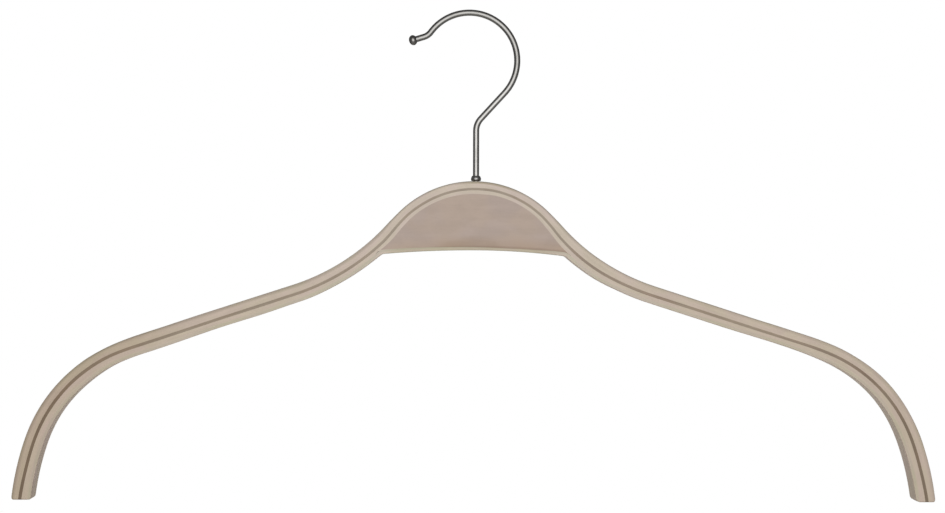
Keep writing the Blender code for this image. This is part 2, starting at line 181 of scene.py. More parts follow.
# The outermost veneer: pale beech, 2 mm thick, bent with the others over a form and glued. Its long edges
# are rounded, its ends are cut level, and it is sanded thinner over the crown. Its outline is a chain of
# tangent arcs, the same on both sides of the middle.
STRETCHES = (                   # radius and turn in degrees; a negative radius bends the other way
    (51.2 * MM, 44.2),
    (180.0 * MM, 3.1),
    (-105.0 * MM, 29.4),
    (None, 77.2 * MM),          # the straight of the arm has a length instead
    (150.0 * MM, 5.0),
    (77.1 * MM, 48.3),
    (138.0 * MM, 30.0),
)
OUTER_PLY = 1.975 * MM
DARK_PLY = 1.2 * MM
ARCH_PLY = 1.75 * MM
LOWER_PLY = 1.9 * MM
CROWN_RELIEF = 0.75 * MM       # sanded off the outside over the crown
RELIEF_SPAN = (38.0 * MM, 56.0 * MM)    # the runs between which that comes to nothing
TIP_FULLNESS = 0.6 * MM        # how much thicker the tips are than their plies make them

# The tables give, for each half, -1 left and 1 right, runs from the middle and a value at each.
FULLNESS = {                    # how much thicker the bow is
    -1: ((50.0 * MM, 0.0), (68.0 * MM, -0.5 * MM), (82.0 * MM, -0.5 * MM), (104.0 * MM, 0.0),
         (122.0 * MM, 0.3 * MM), (140.0 * MM, 0.15 * MM), (180.0 * MM, 0.85 * MM), (198.0 * MM, 0.7 * MM),
         (216.0 * MM, 0.9 * MM), (245.0 * MM, TIP_FULLNESS)),
    1: ((4.0 * MM, 0.0), (14.0 * MM, -0.32 * MM), (34.0 * MM, -0.32 * MM), (48.0 * MM, 0.0),
        (60.0 * MM, 0.6 * MM), (74.0 * MM, 0.6 * MM), (92.0 * MM, 0.0), (140.0 * MM, -0.08 * MM),
        (170.0 * MM, -0.5 * MM), (200.0 * MM, 0.05 * MM), (225.0 * MM, 0.0), (262.0 * MM, TIP_FULLNESS)),
}
SANDED = {                      # how much more is sanded off the outside; less than nothing stands proud
    -1: ((150.0 * MM, 0.0), (172.0 * MM, 0.22 * MM), (200.0 * MM, 0.32 * MM), (212.0 * MM, 0.15 * MM),
         (245.0 * MM, 0.0)),
    1: ((45.0 * MM, 0.0), (70.0 * MM, 0.26 * MM), (150.0 * MM, 0.24 * MM), (168.0 * MM, 0.06 * MM),
        (203.0 * MM, 0.0), (224.0 * MM, -0.3 * MM), (250.0 * MM, 0.0)),
}
DARK_DRIFT = {                  # how much deeper the dark veneer lies
    -1: ((0.0, 0.0), (27.0 * MM, 0.24 * MM), (52.0 * MM, -0.04 * MM), (80.0 * MM, -0.23 * MM),
         (130.0 * MM, -0.04 * MM), (178.0 * MM, 0.32 * MM), (205.0 * MM, -0.12 * MM),
         (226.0 * MM, -0.25 * MM), (270.0 * MM, -0.15 * MM), (292.0 * MM, -0.6 * MM)),
    1: ((0.0, 0.0), (12.0 * MM, -0.13 * MM), (45.0 * MM, -0.04 * MM), (72.0 * MM, 0.57 * MM),
        (100.0 * MM, 0.1 * MM), (150.0 * MM, 0.0), (205.0 * MM, -0.36 * MM), (225.0 * MM, -0.36 * MM),
        (270.0 * MM, -0.1 * MM), (292.0 * MM, -0.65 * MM)),
}
EDGE_ROUND = 1.0 * MM
TIP_OUTER_ROUND = 1.2 * MM     # of the corners of the level cut
TIP_INNER_ROUNDS = {-1: 1.0 * MM, 1: 1.7 * MM}
STATION_STEP = 1.0 * MM        # between sections along the bow
ROUNDING_STEPS = 7
FLAT_SHARE = 0.8               # where the flat top has a row of points beside its rounded edge
SHARP_ANGLE = np.radians(35.0)
OVERCUT = 0.6 * MM             # how far a cutter starts outside what it cuts
BORE_DIAMETER = 3.6 * MM
BORE_SIDES = 64
WASHER_GAP = 0.3 * MM          # between the washer and the counterbore's shoulder
GRAIN_BATCH = 500              # points whose grain is worked out together

crown_z = outer_high.z
cut_level = outer_low.z - crown_z
half_board = BOARD_THICKNESS / 2
dark_level = 2 * OUTER_PLY
arch_level = dark_level + DARK_PLY
lower_level = arch_level + ARCH_PLY
inner_level = lower_level + LOWER_PLY

run_lengths = np.array([length if radius is None else abs(radius) * np.radians(length)
                        for radius, length in STRETCHES])
bends = np.array([0.0 if radius is None else 1 / radius for radius, length in STRETCHES])
start_runs = np.concatenate([[0.0], np.cumsum(run_lengths)])[:-1]
start_leans = np.concatenate([[0.0], np.cumsum(run_lengths * bends)])[:-1]
chords = run_lengths * np.sinc(run_lengths * bends / (2 * np.pi))
chord_leans = start_leans + run_lengths * bends / 2
start_xs = np.concatenate([[0.0], np.cumsum(chords * np.cos(chord_leans))])[:-1]
start_zs = np.concatenate([[0.0], -np.cumsum(chords * np.sin(chord_leans))])[:-1]


def bow_edge(run):
    """Give x, z and the lean of the outward normal at a distance along the right half's outer edge.

    Along an arc that turns by t over a length l, the chord is l times sin(t/2) / (t/2), at the mean lean.
    """
    part = np.searchsorted(start_runs, run, side="right") - 1
    along = run - start_runs[part]
    turn = along * bends[part]
    chord = along * np.sinc(turn / (2 * np.pi))
    lean = start_leans[part] + turn / 2
    return start_xs[part] + chord * np.cos(lean), start_zs[part] - chord * np.sin(lean), lean + turn / 2


def bow_point(run, depth):
    """Give x and z of the point at a depth square under the outer edge."""
    x, z, lean = bow_edge(run)
    return x - depth * np.sin(lean), z - depth * np.cos(lean)


def rise(run, start, end):
    """Give a smooth step from 0 at the start to 1 at the end: three squares less two cubes of the share."""
    share = np.clip((run - start) / (end - start), 0, 1)
    return share * share * (3 - 2 * share)


def relief(run):
    """Give how much is sanded off the outer veneer: a smooth step down, past the crown."""
    return CROWN_RELIEF * (1 - rise(run, *RELIEF_SPAN))


def eased(run, points):
    """Ease from the value at each point, a run and a value, to the value at the next."""
    value = points[0][1]
    for (start, low), (end, high) in zip(points, points[1:]):
        value = value + (high - low) * rise(run, start, end)
    return value


def settled(depths, run, side):
    """Give depths as they come out of the press and the sander.

    The arch ply takes up the unlike thickness, the dark one drifts, and the outside is sanded more in places.
    """
    levels = depths + relief(run)
    outside = np.interp(depths, (0, OUTER_PLY - CROWN_RELIEF), (1, 0))
    at_dark = np.interp(levels, (OUTER_PLY, dark_level, arch_level, lower_level), (0, 1, 1, 0))
    behind = np.interp(levels, (arch_level, lower_level), (0, 1))
    for share, table in ((outside, SANDED), (at_dark, DARK_DRIFT), (behind, FULLNESS)):
        depths = depths + share * eased(run, table[side])
    return depths


def drawn_in(inset, radius):
    """Give how far a quarter round lies inside its corner, at an inset from the side.

    That is the radius less the height of its circle there.
    """
    return radius - np.sqrt(radius ** 2 - (radius - np.clip(inset, 0, radius)) ** 2)


def tip_run(depth, side):
    """Give the distance along the bow at which the level cut, with its rounded corners, meets a depth.

    There the lean's cosine is the cut's height over the last arc's centre, divided by that arc's radius less
    the depth.
    """
    from_inside = inner_level + TIP_FULLNESS - depth
    level = cut_level + drawn_in(depth, TIP_OUTER_ROUND) + drawn_in(from_inside, TIP_INNER_ROUNDS[side])
    radius = STRETCHES[-1][0]
    centre_z = start_zs[-1] - radius * np.cos(start_leans[-1])
    lean = np.arccos((level - centre_z) / (radius - depth))
    return start_runs[-1] + (lean - start_leans[-1]) * radius


rounding = np.linspace(0, np.pi / 2, ROUNDING_STEPS)
inset_shares = 1 - np.cos(rounding)
full_run = float(tip_run(np.array(TIP_OUTER_ROUND), 1))
stations = np.concatenate([np.arange(0, full_run - EDGE_ROUND - STATION_STEP / 2, STATION_STEP),
                           full_run - EDGE_ROUND * inset_shares[::-1]])
tip_insets = full_run - stations


def around_board(x, z, widths):
    """Make sections, an array (station, point, xyz), that run down the front side and up the back."""
    widths = np.broadcast_to(widths, x.shape)
    front = np.stack([x, -widths, z], axis=-1)
    back = np.stack([x, widths, z], axis=-1)[:, ::-1]
    return np.concatenate([front, back], axis=1)


def ply_half(depths, half_widths, side, first=0):
    """Stack a ply's sections from the middle to one tip, as if that tip were the right one.

    Each station is the same share of the way to the tip at every depth, so that the last one lies in the cut.
    """
    depths = settled(depths, stations[first:, None], side)
    share = stations[first:, None] / full_run
    x, z = bow_point(share * tip_run(depths, side), depths)
    return around_board(x, z, half_widths - drawn_in(tip_insets[first:, None], EDGE_ROUND))


def both_halves(half):
    """Join the sections that half(side) gives, with the left ones mirrored, and put them where the bow is."""
    left = half(-1)[:0:-1] * (-1, 1, 1)
    return np.concatenate([left, half(1)]) + (middle_x, 0, crown_z)


def skin(name, rings):
    """Make a closed mesh of stacked rings, an array (ring, point, xyz).

    Quads join each ring to the next, and each end is closed by a strip of quads from one half of its ring
    to the other.
    """
    around = rings.shape[1]
    index = np.arange(rings.shape[0] * around).reshape(-1, around)
    beside = np.roll(index, -1, axis=1)
    walls = np.stack([index[:-1], beside[:-1], beside[1:], index[1:]], axis=-1).reshape(-1, 4)
    step = np.arange(around // 2 - 1)
    strip = np.stack([step, step + 1, around - 2 - step, around - 1 - step], axis=-1)
    faces = np.concatenate([walls, index[-1][strip], index[0][strip[:, ::-1]]])
    mesh = bpy.data.meshes.new(name)
    mesh.from_pydata(rings.reshape(-1, 3).tolist(), [], faces.tolist())
    piece = bpy.data.objects.new(name, mesh)
    bpy.context.scene.collection.objects.link(piece)
    return piece


def soften(piece):
    """Shade a piece smooth, but for its sharp edges."""
    piece.data.shade_smooth()
    piece.data.set_sharp_from_angle(angle=SHARP_ANGLE)


def bore(piece, diameter, low, high):
    """Cut an upright round hole on the shank's axis, which is the line through the origin."""
    turn = np.linspace(0, 2 * np.pi, BORE_SIDES, endpoint=False)
    ring = np.stack([np.cos(turn), np.sin(turn), np.zeros(BORE_SIDES)], axis=-1) * diameter / 2
    cutter = skin("cutter", np.stack([ring + (0, 0, low), ring + (0, 0, high)]))
    boolean = piece.modifiers.new("bore", "BOOLEAN")
    boolean.operation = "DIFFERENCE"
    boolean.object = cutter
    evaluated = piece.evaluated_get(bpy.context.evaluated_depsgraph_get())
    mesh = bpy.data.meshes.new_from_object(evaluated)
    piece.modifiers.clear()
    piece.data = mesh
    bpy.data.objects.remove(cutter)


def lay_grain(piece, line, runs):
    """Store each vertex's place in the flat, unbent veneer as the attribute grain: run, across, and depth.

    The run is that of the nearest point of the line (x, z), and the depth is the distance behind the line.
    What sanding took off the crown is added to the depth, so that a glue line keeps its level.
    """
    points = np.empty(len(piece.data.vertices) * 3, np.float32)
    piece.data.vertices.foreach_get("co", points)
    points = points.reshape(-1, 3)
    tangent = np.gradient(line, axis=0)
    tangent /= np.linalg.norm(tangent, axis=1, keepdims=True)
    grain = np.empty_like(points)
    for some in np.array_split(np.arange(len(points)), len(points) // GRAIN_BATCH + 1):
        away = points[some][:, None, ::2] - line
        nearest = (away ** 2).sum(axis=2).argmin(axis=1)
        offset = away[np.arange(len(some)), nearest]
        along = tangent[nearest]
        grain[some, 0] = runs[nearest] + (offset * along).sum(axis=1)
        grain[some, 1] = points[some, 1]
        grain[some, 2] = offset[:, 0] * along[:, 1] - offset[:, 1] * along[:, 0]
    grain[:, 2] += relief(np.abs(grain[:, 0]))
    attribute = piece.data.attributes.new("grain", "FLOAT_VECTOR", "POINT")
    attribute.data.foreach_set("vector", grain.ravel())


shoulder_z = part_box("retaining_washer")[1].z + WASHER_GAP
line_runs = np.arange(0, start_runs[-1] + run_lengths[-1], STATION_STEP / 4)
line_x, line_z, _ = bow_edge(line_runs)
outer_line = np.stack([np.concatenate([-line_x[:0:-1], line_x]) + middle_x,
                       np.concatenate([line_z[:0:-1], line_z]) + crown_z], axis=-1)
outer_runs = np.concatenate([-line_runs[:0:-1], line_runs])

glued = OUTER_PLY - relief(stations)[:, None]
rounded = np.broadcast_to(EDGE_ROUND * inset_shares, (len(stations), ROUNDING_STEPS))
depths = np.concatenate([np.zeros((len(stations), 1)), rounded, glued], axis=1)
half_widths = np.concatenate([[FLAT_SHARE * (half_board - EDGE_ROUND)],
                              half_board - EDGE_ROUND * (1 - np.sin(rounding)), [half_board]])
outer_ply = skin("outer_ply", both_halves(lambda side: ply_half(depths, half_widths, side)))
bore(outer_ply, BORE_DIAMETER, shoulder_z, crown_z + OVERCUT)
lay_grain(outer_ply, outer_line, outer_runs)
soften(outer_ply)

# The veneers' finish. The grain attribute unbends the wood, so that streaks, flecks and tones follow the bow.
# Beech has short darker flecks, and its two close tones drift along the sheet.
# Its rounded long edges are darkened by painted shade, where they turn from the light.
# Each scale is in noise cells to the metre: along, across and through the sheet.
HONEY = (0.524, 0.447, 0.350)
ROSY = (0.532, 0.438, 0.366)
STREAK_SCALE = (28.0, 1100.0, 3200.0)
STREAK_DETAIL = 4.0
STREAK_ROUGHNESS = 0.62
STREAK_RANGE = (0.25, 0.75)    # the noise values that are darkest and palest
FLECK_SCALE = (330.0, 1900.0, 2400.0)
FLECK_SIZE = (0.10, 0.34)      # how far from its cell's middle a fleck is full and gone
FLECK_CHANCE = (0.35, 0.9)     # the cells' random values at which flecks begin to show and are full
DRIFT_SCALE = (75.0, 120.0, 260.0)
DRIFT_DETAIL = 2.0
DRIFT_RANGE = (0.36, 0.64)     # the noise values that are all one tone and all the other
CLOUD_SCALE = (110.0, 260.0, 420.0)
CLOUD_DETAIL = 3.0
CLOUD_RANGE = (0.3, 0.7)       # the noise values that are darkest and palest
CROWN_TONE = (1.07, 1.09, 1.14)
CROWN_REACH = (20.0 * MM, 140.0 * MM)   # how far from the middle it is full and gone
LEFT_TONE = (0.89, 0.87, 0.825)
LEFT_REACH = (150.0 * MM, 190.0 * MM)   # how far to the left it begins and is full
TIP_TONE = (0.95, 0.935, 0.93)
TIP_REACH = (262.0 * MM, 165.0 * MM)    # how far from the middle it is full and gone
FIRST_SHEET_TONE = (0.80, 0.81, 0.72)
FIRST_SHEET_SPOT = (8.0 * MM, 6.0 * MM, 20.0 * MM)      # its run, and how far from there it is full and gone
# Painted shade along the rounded long edges, where they turn from the light: its tone, and where it lies.
EDGE_SHADE_TONE = (0.78, 0.79, 0.77)
EDGE_SHADE_DEPTH = (0.1 * MM, 0.7 * MM, 2.1 * MM)     # where the painted edge shade begins, is full and ends
EDGE_SHADE_ACROSS = (3.6 * MM, 5.4 * MM)      # how far from the board's middle plane it begins and is full
EDGE_SHADE_RIGHT_SPAN = (45.0 * MM, 75.0 * MM)    # between these runs the right arm's painted edge shade falls to its share
EDGE_SHADE_RIGHT_SHARE = 0.5
END_TONE = (0.84, 0.81, 0.79)
END_FADE = (0.1 * MM, 0.7 * MM)     # above the level cut
WOOD_ROUGHNESS = 0.78
WOOD_ROUGHNESS_SPREAD = 0.06
WOOD_ROUGHNESS_RANGE = (0.2, 0.8)   # the streaks' values that are smoothest and roughest
WOOD_SPECULAR = 0.12
WOOD_BUMP_STRENGTH = 0.2
WOOD_BUMP_HEIGHT = 0.02 * MM


def group(name, inputs, outputs):
    """Start a node group whose sockets each have a name and a type.

    Give its tree, the sockets that bring its values in, and those that take its results out.
    """
    tree = bpy.data.node_groups.new(name, "ShaderNodeTree")
    for label, kind in inputs:
        tree.interface.new_socket(name=label, in_out="INPUT", socket_type="NodeSocket" + kind)
    for label, kind in outputs:
        tree.interface.new_socket(name=label, in_out="OUTPUT", socket_type="NodeSocket" + kind)
    return tree, tree.nodes.new("NodeGroupInput").outputs, tree.nodes.new("NodeGroupOutput").inputs


def scaled(tree, vector, scale):
    """Multiply a place by a scale along each axis."""
    return node(tree, "VectorMath", {0: vector, 1: scale}, operation="MULTIPLY").outputs["Vector"]


def noise(tree, place, scale, detail, roughness=0.5):
    """Give a noise at a place, with a scale along each axis."""
    values = {"Vector": scaled(tree, place, scale), "Scale": 1.0, "Detail": detail, "Roughness": roughness}
    return node(tree, "TexNoise", values).outputs["Fac"]


def mix(tree, first, second, share, blend="MIX"):
    """Blend two colours by a share, which are the Mix node's sockets 6, 7 and 0, and give the result."""
    made = node(tree, "Mix", data_type="RGBA", blend_type=blend)
    for socket, value in ((0, share), (6, first), (7, second)):
        if isinstance(value, bpy.types.NodeSocket):
            tree.links.new(value, made.inputs[socket])
        else:
            made.inputs[socket].default_value = value if socket == 0 else (*value, 1.0)
    return made.outputs[2]


tree, given, wanted = group(
    "beech_figure",
    [("Place", "Vector"), ("Streak Scale", "Vector"), ("Fleck Scale", "Vector"), ("Drift Scale", "Vector"),
     ("Cloud Scale", "Vector")],
    [("Streaks", "Float"), ("Flecks", "Float"), ("Drift", "Float"), ("Clouds", "Float")],
)
streaks = noise(tree, given["Place"], given["Streak Scale"], STREAK_DETAIL, STREAK_ROUGHNESS)
tree.links.new(streaks, wanted["Streaks"])
cells = node(tree, "TexVoronoi", {"Vector": scaled(tree, given["Place"], given["Fleck Scale"]), "Scale": 1.0})
near = ramp(tree, cells.outputs["Distance"], *FLECK_SIZE, 1.0, 0.0)
chance = node(tree, "SeparateColor", {"Color": cells.outputs["Color"]}).outputs["Red"]
tree.links.new(calculate(tree, "MULTIPLY", near, ramp(tree, chance, *FLECK_CHANCE)), wanted["Flecks"])
drift = noise(tree, given["Place"], given["Drift Scale"], DRIFT_DETAIL)
tree.links.new(ramp(tree, drift, *DRIFT_RANGE), wanted["Drift"])
clouds = noise(tree, given["Place"], given["Cloud Scale"], CLOUD_DETAIL)
tree.links.new(ramp(tree, clouds, *CLOUD_RANGE), wanted["Clouds"])
beech_figure = tree


def beech(tree, place, scales, first, second, depths):
    """Lay the beech figure over two tones, and give the colour and the figure's outputs.

    The scales are those of the streaks, the flecks, the drift and the clouds. The depths are how much the
    streaks, the flecks and the clouds change the colour.
    """
    figure = node(tree, "Group", node_tree=beech_figure)
    tree.links.new(place, figure.inputs["Place"])
    for socket, scale in zip(("Streak Scale", "Fleck Scale", "Drift Scale", "Cloud Scale"), scales):
        figure.inputs[socket].default_value = scale
    colour = mix(tree, first, second, figure.outputs["Drift"])
    streak_depth, fleck_depth, cloud_depth = depths
    shade = ramp(tree, figure.outputs["Streaks"], *STREAK_RANGE, 1.0 - streak_depth, 1.0 + streak_depth)
    shades = (("Flecks", 1.0, 1.0 - fleck_depth), ("Clouds", 1.0 - cloud_depth, 1.0 + cloud_depth))
    for name, low, high in shades:
        shade = calculate(tree, "MULTIPLY", shade, ramp(tree, figure.outputs[name], 0.0, 1.0, low, high))
    colour = node(tree, "VectorMath", {0: colour, 3: shade}, operation="SCALE").outputs["Vector"]
    return colour, figure.outputs


def raw_wood(tree, colour, streaks):
    """Feed the wood shader: matt, a little rougher and raised where the streaks are strong."""
    shader = tree.nodes["Principled BSDF"]
    tree.links.new(colour, shader.inputs["Base Color"])
    rough = ramp(tree, streaks, *WOOD_ROUGHNESS_RANGE, WOOD_ROUGHNESS - WOOD_ROUGHNESS_SPREAD,
                 WOOD_ROUGHNESS + WOOD_ROUGHNESS_SPREAD)
    tree.links.new(rough, shader.inputs["Roughness"])
    shader.inputs["Specular IOR Level"].default_value = WOOD_SPECULAR
    bump = node(tree, "Bump", {"Strength": WOOD_BUMP_STRENGTH, "Distance": WOOD_BUMP_HEIGHT,
                               "Height": streaks})
    tree.links.new(bump.outputs["Normal"], shader.inputs["Normal"])


def veneer_finish(name, first, second, depths, left_tone, tones, edge_shade_tone=None, edge_shade_right_share=1.0):
    """Make a veneer's material.

    The left tone is for the left arm's end alone. Each of the tones has a run, and the distances from there
    at which it is full and at which it is gone. The edge shade tone is painted shade for the rounded long
    edges near depth 0, and the right arm has only a share of it.
    """
    material = bpy.data.materials.new(name)
    material.use_nodes = True
    tree = material.node_tree
    place = node(tree, "Attribute", attribute_name="grain").outputs["Vector"]
    scales = (STREAK_SCALE, FLECK_SCALE, DRIFT_SCALE, CLOUD_SCALE)
    colour, figure = beech(tree, place, scales, first, second, depths)
    run, across, depth = node(tree, "SeparateXYZ", {"Vector": place}).outputs
    leftward = calculate(tree, "MULTIPLY", run, -1.0)
    level = node(tree, "SeparateXYZ", {"Vector": node(tree, "TexCoord").outputs["Object"]}).outputs["Z"]
    over_cut = calculate(tree, "SUBTRACT", level, float(outer_low.z))
    shares = [
        (left_tone, ramp(tree, leftward, *LEFT_REACH)),
        (END_TONE, ramp(tree, over_cut, *END_FADE, 1.0, 0.0)),
    ]
    # Painted shade along the rounded long edges, near depth 0 and near the board's faces.
    if edge_shade_tone:
        from_edge = calculate(tree, "ABSOLUTE", depth)
        edge_shade = ramp(tree, calculate(tree, "ABSOLUTE", across), *EDGE_SHADE_ACROSS)
        for part in (ramp(tree, from_edge, *EDGE_SHADE_DEPTH[:2]), ramp(tree, from_edge, *EDGE_SHADE_DEPTH[1:], 1.0, 0.0),
                     ramp(tree, run, *EDGE_SHADE_RIGHT_SPAN, 1.0, edge_shade_right_share)):
            edge_shade = calculate(tree, "MULTIPLY", edge_shade, part)
        shares.append((edge_shade_tone, edge_shade))
    for tone, middle, full, gone in tones:
        away = calculate(tree, "ABSOLUTE", calculate(tree, "SUBTRACT", run, middle))
        if full < gone:
            shares.append((tone, ramp(tree, away, full, gone, 1.0, 0.0)))
        else:
            shares.append((tone, ramp(tree, away, gone, full)))
    for tone, share in shares:
        colour = mix(tree, colour, tone, share, "MULTIPLY")
    raw_wood(tree, colour, figure["Streaks"])
    return material


PALE_DEPTHS = (0.035, 0.06, 0.025)      # of the streaks, the flecks and the clouds
pale_tones = [(CROWN_TONE, 0.0, *CROWN_REACH), (TIP_TONE, 0.0, *TIP_REACH)]
outer_tones = [*pale_tones, (FIRST_SHEET_TONE, *FIRST_SHEET_SPOT)]
outer_veneer_wood = veneer_finish("outer_veneer_beech", HONEY, ROSY, PALE_DEPTHS, LEFT_TONE, outer_tones,
                                  EDGE_SHADE_TONE, EDGE_SHADE_RIGHT_SHARE)
outer_ply.data.materials.append(outer_veneer_wood)
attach(outer_ply, "bow")
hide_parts("outer_veneer")

# The second veneer is pale beech like the outermost one. It lies right under that, glued to it and to the
# dark one. Its edges get the same painted edge shade, but its sheet lacks the first one's darker patch on the
# crown.
ARM_SPAN = (45.0 * MM, 80.0 * MM)      # the runs between which the dark veneer comes to lie deeper
DARK_TOP_DEEPER = 0.14 * MM
DARK_BOTTOM_DEEPER = 0.30 * MM


def glue_line(level, deeper=0.0):
    """Give a glue line's depth at each station: less where the crown is sanded, and deeper in the arms."""
    return level + deeper * rise(stations, *ARM_SPAN) - relief(stations)


def inner_ply(name, cad_node, top, bottom, material):
    """Make a veneer glued between two lines. Its long edges are sanded flush with the other veneers."""
    depths = np.stack([top, bottom], axis=-1)
    piece = skin(name, both_halves(lambda side: ply_half(depths, half_board, side)))
    bore(piece, BORE_DIAMETER, shoulder_z, crown_z + OVERCUT)
    lay_grain(piece, outer_line, outer_runs)
    soften(piece)
    piece.data.materials.append(material)
    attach(piece, "bow")
    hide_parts(cad_node)


dark_top = glue_line(dark_level, DARK_TOP_DEEPER)
second_veneer_wood = veneer_finish("second_veneer_beech", HONEY, ROSY, PALE_DEPTHS, LEFT_TONE, pale_tones,
                                   EDGE_SHADE_TONE, EDGE_SHADE_RIGHT_SHARE)
inner_ply("second_ply", "second_veneer", glue_line(OUTER_PLY), dark_top, second_veneer_wood)

# The dark veneer is the line that runs all along the bow: a thin sheet of dyed beech, glued between the
# second veneer and the arch veneer and sanded flush with them. Its tone is deepest at the tips, and a little
# deeper at two places in the right arm.
DARK = (0.306, 0.252, 0.194)
DARK_WARM = (0.312, 0.247, 0.186)
DARK_DEPTHS = (0.08, 0.10, 0.05)
DARK_LEFT_TONE = (0.89, 0.84, 0.80)
DARK_CROWN_TONE = (1.12, 1.14, 1.19)
DARK_TIP_TONE = (0.66, 0.62, 0.58)
DARK_SPOT_TONE = (0.93, 0.89, 0.89)
DARK_SPOT_RUNS = (88.0 * MM, 195.0 * MM)
DARK_SPOT_REACH = (18.0 * MM, 38.0 * MM)
arch_top = glue_line(arch_level, DARK_BOTTOM_DEEPER)
dark_tones = [(DARK_CROWN_TONE, 0.0, *CROWN_REACH), (DARK_TIP_TONE, 0.0, *TIP_REACH)]
dark_tones += [(DARK_SPOT_TONE, spot_run, *DARK_SPOT_REACH) for spot_run in DARK_SPOT_RUNS]
dark_veneer_wood = veneer_finish("dark_veneer_beech", DARK, DARK_WARM, DARK_DEPTHS, DARK_LEFT_TONE,
                                 dark_tones)
inner_ply("dark_ply", "dark_core_veneer", dark_top, arch_top, dark_veneer_wood)

# The arch veneer is pale beech, bent over the block and glued to it. In the arms it lies between the dark
# veneer and the lower one, glued to both.
INNER_LEFT_TONE = (0.96, 0.945, 0.94)
arch_veneer_wood = veneer_finish("arch_veneer_beech", HONEY, ROSY, PALE_DEPTHS, INNER_LEFT_TONE, pale_tones)
inner_ply("arch_ply", "arch_veneer", arch_top, glue_line(lower_level), arch_veneer_wood)

# The lower veneer is pale beech, glued inside both arms and under the block. Its underside is a shallow arch
# there, with a rounding at each end: a little flatter on the left and rounder on the right. Its visible long
# edges are only just broken.
UNDERSIDE_RADII = {-1: 505.0 * MM, 1: 350.0 * MM}
UNDERSIDE_LIFT = 0.15 * MM     # the ply is sanded on its underside
THINNED = (                     # how much thinner it is at a place along X from the bow's middle
    (-44.0 * MM, -0.15 * MM), (-8.0 * MM, 0.3 * MM), (16.0 * MM, 0.65 * MM), (27.0 * MM, 0.55 * MM),
    (40.0 * MM, 0.1 * MM),
)
CORNER_ROUND = 3.0 * MM
COUNTERBORE_DIAMETER = 8.6 * MM
INNER_EDGE_ROUND = 0.6 * MM
LINE_STEP = 0.5 * MM
CORNER_STEPS = 10
CORNER_SEARCH = 100.0 * MM     # the corner lies within this run from the middle
SEARCH_STEPS = 20001
LOWER_DEPTHS = (0.03, 0.03, 0.02)
UNDER_TONE = (0.86, 0.87, 0.79)
UNDER_REACH = (32.0 * MM, 48.0 * MM)
# Painted shade along the inner face's rounded long edges.
INNER_EDGE_SHADE_TONE = (0.90, 0.96, 0.92)

underside_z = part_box("lower_veneer")[1].z - LOWER_PLY + UNDERSIDE_LIFT
search = np.linspace(0, CORNER_SEARCH, SEARCH_STEPS)


def underside(side):
    """Give x, z and the lean along one half's underside, and the run at which the arm leaves the block.

    The line is an arc about a point below the middle, then the corner's rounding. That is centred where the
    arc and the arm's inner side, both moved in by the rounding's radius, meet.
    """
    radius = UNDERSIDE_RADII[side]
    arc_z = underside_z - crown_z - radius
    search_x, search_z = bow_point(search, settled(inner_level - relief(search), search, side) + CORNER_ROUND)
    excess = np.hypot(search_x, search_z - arc_z) - (radius - CORNER_ROUND)
    corner = np.flatnonzero(np.diff(np.sign(excess)))[0]
    round_x = search_x[corner]
    round_z = search_z[corner]
    first_lean = np.arctan2(round_x, round_z - arc_z)
    last_lean = float(bow_edge(search[corner])[2])
    arc_lean = np.arange(0, first_lean, LINE_STEP / radius)
    round_lean = np.linspace(first_lean, last_lean, CORNER_STEPS)
    x = np.concatenate([radius * np.sin(arc_lean), round_x + CORNER_ROUND * np.sin(round_lean)])
    z = np.concatenate([arc_z + radius * np.cos(arc_lean), round_z + CORNER_ROUND * np.cos(round_lean)])
    return x, z, np.concatenate([arc_lean, round_lean]), search[corner]


def ply_height(side, x):
    """Give how thick the lower ply is under the block."""
    return LOWER_PLY - eased(side * x, THINNED)


def lower_half(side):
    """Stack the lower ply's sections: square to the underside, and past the corner square to the arm."""
    x, z, lean, corner_run = underside(side)
    tall = np.where(heights < LOWER_PLY, heights, ply_height(side, x)[:, None])
    x = x[:, None] + tall * np.sin(lean)[:, None]
    z = z[:, None] + tall * np.cos(lean)[:, None]
    first = int(np.searchsorted(stations, corner_run + STATION_STEP / 2))
    in_arm = ply_half(glue_line(inner_level)[first:, None] - heights, half_widths, side, first)
    return np.concatenate([around_board(x, z, half_widths), in_arm])


heights = np.concatenate([[LOWER_PLY], INNER_EDGE_ROUND * inset_shares[::-1], [0.0]])
half_widths = np.concatenate([[half_board], half_board - INNER_EDGE_ROUND * (1 - np.sin(rounding[::-1])),
                              [FLAT_SHARE * (half_board - INNER_EDGE_ROUND)]])
rings = both_halves(lower_half)
lower_ply = skin("lower_ply", rings)
bore(lower_ply, COUNTERBORE_DIAMETER, underside_z - OVERCUT, shoulder_z)
inner_line = rings[:, len(heights) - 1, ::2]
inner_runs = np.concatenate([[0.0], np.cumsum(np.linalg.norm(np.diff(inner_line, axis=0), axis=1))])
lay_grain(lower_ply, inner_line, inner_runs - np.interp(middle_x, inner_line[:, 0], inner_runs))
soften(lower_ply)
lower_tones = [*pale_tones, (UNDER_TONE, 0.0, *UNDER_REACH)]
lower_veneer_wood = veneer_finish("lower_veneer_beech", HONEY, ROSY, LOWER_DEPTHS, INNER_LEFT_TONE,
                                  lower_tones, INNER_EDGE_SHADE_TONE)
lower_ply.data.materials.append(lower_veneer_wood)
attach(lower_ply, "bow")
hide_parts("lower_veneer")

# The block is solid beech, sawn to the space between the arch veneer and the lower one, glued in and sanded
# flush. Its grain lies along X, with a flat growth ring that shows as a darker lens over the bottom edge.
BLOCK_STATIONS = 120
BLOCK_ROWS = 16
BLOCK = (0.428, 0.347, 0.303)
BLOCK_WARM = (0.435, 0.348, 0.291)

